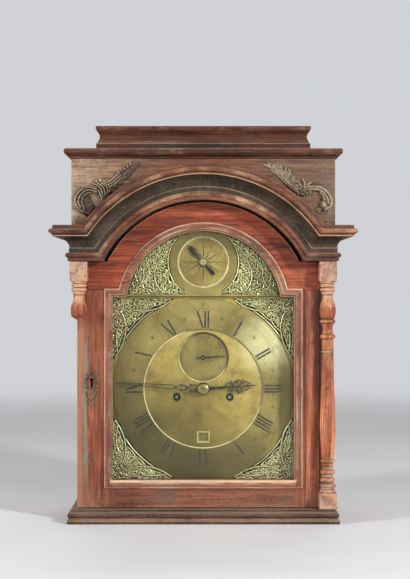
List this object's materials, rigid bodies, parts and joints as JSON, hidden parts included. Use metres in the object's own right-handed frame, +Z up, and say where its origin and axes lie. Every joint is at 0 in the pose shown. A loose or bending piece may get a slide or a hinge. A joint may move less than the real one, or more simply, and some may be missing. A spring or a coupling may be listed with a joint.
{
  "type": "weight-driven hooded wall clock",
  "caption": "Hood of a weight-driven striking wall clock: moulded oak case with arched glazed door, turned column, brass dial, hands, bell and geared movement.",
  "frame": {"origin": "centre of the bounding box's base, on the surface that the hood stands on", "axes": "+X to the right seen from the front, +Y to the back, +Z up; the dial faces -Y"},
  "size_m": [0.4928, 0.264, 0.644],
  "materials": {
    "case_wood": "red-brown stained oak, worn",
    "dark_wood": "dark dusty stained oak",
    "back_wood": "bare sawn oak",
    "glass": "old clear glass",
    "engraved_brass": "matted and aged",
    "ring_brass": "brushed, silvering worn off",
    "cast_brass": "cast, dark in its hollows",
    "movement_brass": "satin",
    "old_brass": "tarnished",
    "bell_metal": "turned, dull",
    "steel": "satin",
    "blued_steel": "blued, worn"
  },
  "bodies": {
    "root": {"backboard": "back_wood", "cheeks": "back_wood", "seatboard": "back_wood", "seatboard_bolts": "steel", "front_plate": "movement_brass", "back_plate": "movement_brass", "plate_pillars": "movement_brass", "back_cock": "movement_brass", "dial_plate": "engraved_brass", "chapter_ring": "ring_brass", "seconds_dial": "engraved_brass", "arch_ring": "ring_brass", "corner_spandrels": "cast_brass", "arch_spandrels": "cast_brass", "bell_stand": "steel", "bell": "bell_metal", "hour_bridge": "movement_brass", "hammer_spring": "steel"},
    "minute_arbor": {"centre_wheel": "movement_brass", "cannon_wheel": "movement_brass", "minute_hand": "blued_steel", "hand_collet": "old_brass"},
    "hour_pipe": {"hour_wheel": "movement_brass", "hour_hand": "blued_steel"},
    "minute_wheel": {"minute_wheel": "movement_brass"},
    "going_great_wheel": {"going_great_wheel": "movement_brass"},
    "going_barrel": {"going_barrel": "steel"},
    "strike_great_wheel": {"strike_great_wheel": "movement_brass"},
    "strike_barrel": {"strike_barrel": "steel"},
    "third_arbor": {"third_wheel": "movement_brass"},
    "escape_arbor": {"escape_wheel": "movement_brass", "seconds_hand": "blued_steel"},
    "pallet_arbor": {"pallets": "steel", "crutch": "steel"},
    "pin_wheel": {"pin_wheel": "movement_brass"},
    "gathering_arbor": {"gathering_wheel": "movement_brass"},
    "warning_wheel": {"warning_wheel": "movement_brass"},
    "fly": {"fly": "movement_brass"},
    "hammer": {"hammer": "steel"},
    "rack": {"rack": "steel"},
    "rack_hook": {"rack_hook": "steel"},
    "lifting_piece": {"lifting_piece": "steel"},
    "date_wheel": {"date_wheel": "movement_brass"},
    "date_ring": {"date_ring": "ring_brass"},
    "arch_hand": {"arch_hand": "blued_steel"},
    "hood": {"hood_sides": "case_wood", "base_moulding": "case_wood", "frieze": "case_wood", "entablature_moulding": "dark_wood", "top_board": "case_wood", "caddy": "case_wood", "carvings": "dark_wood", "dial_mask": "dark_wood"},
    "door": {"door_frame": "case_wood", "door_glass": "glass", "door_column": "case_wood", "column_stub": "case_wood", "escutcheon": "old_brass", "door_lock": "steel"},
    "lock_bolt": {"lock_bolt": "movement_brass"}
  },
  "joints": [
    {"name": "hood_slide", "type": "slide", "parent": "root", "child": "hood", "axis": [0, -1, 0], "range_m": [0, 0.26]},
    {"name": "door_hinge", "type": "hinge", "parent": "hood", "child": "door", "pos_m": [0.201, -0.087, 0.22], "axis": [0, 0, 1], "range_deg": [0, 110]},
    {"name": "lock_bolt_slide", "type": "slide", "parent": "door", "child": "lock_bolt", "axis": [-1, 0, 0], "range_m": [0, 0.006]},
    {"name": "minute_turn", "type": "hinge", "parent": "root", "child": "minute_arbor", "pos_m": [0, 0.03, 0.214], "axis": [0, 1, 0], "continuous": true},
    {"name": "hour_turn", "type": "hinge", "parent": "root", "child": "hour_pipe", "pos_m": [0, 0.03, 0.214], "axis": [0, 1, 0], "continuous": true},
    {"name": "minute_wheel_turn", "type": "hinge", "parent": "root", "child": "minute_wheel", "pos_m": [0, 0.03, 0.182], "axis": [0, 1, 0], "continuous": true},
    {"name": "going_great_turn", "type": "hinge", "parent": "root", "child": "going_great_wheel", "pos_m": [0.0435, 0.03, 0.2], "axis": [0, 1, 0], "continuous": true},
    {"name": "going_wind", "type": "hinge", "parent": "going_great_wheel", "child": "going_barrel", "pos_m": [0.0435, 0.03, 0.2], "axis": [0, 1, 0], "continuous": true},
    {"name": "third_turn", "type": "hinge", "parent": "root", "child": "third_arbor", "pos_m": [0.0103, 0.03, 0.2395], "axis": [0, 1, 0], "continuous": true},
    {"name": "escape_turn", "type": "hinge", "parent": "root", "child": "escape_arbor", "pos_m": [0, 0.03, 0.265], "axis": [0, 1, 0], "continuous": true},
    {"name": "pallet_swing", "type": "hinge", "parent": "root", "child": "pallet_arbor", "pos_m": [0, 0.03, 0.292], "axis": [0, 1, 0], "range_deg": [-2, 2]},
    {"name": "date_wheel_turn", "type": "hinge", "parent": "root", "child": "date_wheel", "pos_m": [0, 0.03, 0.169], "axis": [0, 1, 0], "continuous": true},
    {"name": "date_ring_turn", "type": "hinge", "parent": "root", "child": "date_ring", "pos_m": [0, 0.03, 0.214], "axis": [0, 1, 0], "continuous": true},
    {"name": "arch_hand_turn", "type": "hinge", "parent": "root", "child": "arch_hand", "pos_m": [0, 0.03, 0.422], "axis": [0, 1, 0], "continuous": true},
    {"name": "strike_turn", "type": "hinge", "parent": "root", "child": "gathering_arbor", "pos_m": [-0.03, 0.03, 0.267], "axis": [0, 1, 0], "continuous": true},
    {"name": "pin_wheel_turn", "type": "hinge", "parent": "root", "child": "pin_wheel", "pos_m": [-0.038, 0.03, 0.241], "axis": [0, 1, 0], "continuous": true},
    {"name": "strike_great_turn", "type": "hinge", "parent": "root", "child": "strike_great_wheel", "pos_m": [-0.0435, 0.03, 0.2], "axis": [0, 1, 0], "continuous": true},
    {"name": "strike_wind", "type": "hinge", "parent": "strike_great_wheel", "child": "strike_barrel", "pos_m": [-0.0435, 0.03, 0.2], "axis": [0, 1, 0], "continuous": true},
    {"name": "warning_turn", "type": "hinge", "parent": "root", "child": "warning_wheel", "pos_m": [-0.044, 0.03, 0.2824], "axis": [0, 1, 0], "continuous": true},
    {"name": "fly_turn", "type": "hinge", "parent": "root", "child": "fly", "pos_m": [-0.03, 0.03, 0.291], "axis": [0, 1, 0], "continuous": true},
    {"name": "hammer_lift", "type": "hinge", "parent": "root", "child": "hammer", "pos_m": [-0.066, 0.03, 0.274], "axis": [0, 1, 0], "range_deg": [-14, 0], "stiffness_Nm_per_rad": 0.05, "springref_deg": 11.46},
    {"name": "rack_fall", "type": "hinge", "parent": "root", "child": "rack", "pos_m": [-0.062, 0.03, 0.224], "axis": [0, 1, 0], "range_deg": [-24, 0]},
    {"name": "lifting_turn", "type": "hinge", "parent": "root", "child": "lifting_piece", "pos_m": [-0.08, 0.03, 0.244], "axis": [0, 1, 0], "range_deg": [0, 4], "stiffness_Nm_per_rad": 0.02, "springref_deg": -17.19},
    {"name": "rack_hook_lift", "type": "hinge", "parent": "root", "child": "rack_hook", "pos_m": [-0.078, 0.03, 0.282], "axis": [0, 1, 0], "range_deg": [-8, 0]}
  ],
  "couplings": [
    {"joint": "hour_turn", "follows": "minute_turn", "ratio": 0.083333},
    {"joint": "minute_wheel_turn", "follows": "minute_turn", "ratio": -1},
    {"joint": "going_great_turn", "follows": "minute_turn", "ratio": -0.083333},
    {"joint": "third_turn", "follows": "minute_turn", "ratio": -7.5},
    {"joint": "escape_turn", "follows": "minute_turn", "ratio": 60},
    {"joint": "date_wheel_turn", "follows": "minute_turn", "ratio": -0.041667},
    {"joint": "pin_wheel_turn", "follows": "strike_turn", "ratio": -0.125},
    {"joint": "strike_great_turn", "follows": "strike_turn", "ratio": 0.011905},
    {"joint": "warning_turn", "follows": "strike_turn", "ratio": -7},
    {"joint": "fly_turn", "follows": "strike_turn", "ratio": 56},
    {"joint": "rack_hook_lift", "follows": "lifting_turn", "ratio": -1.84}
  ]
}
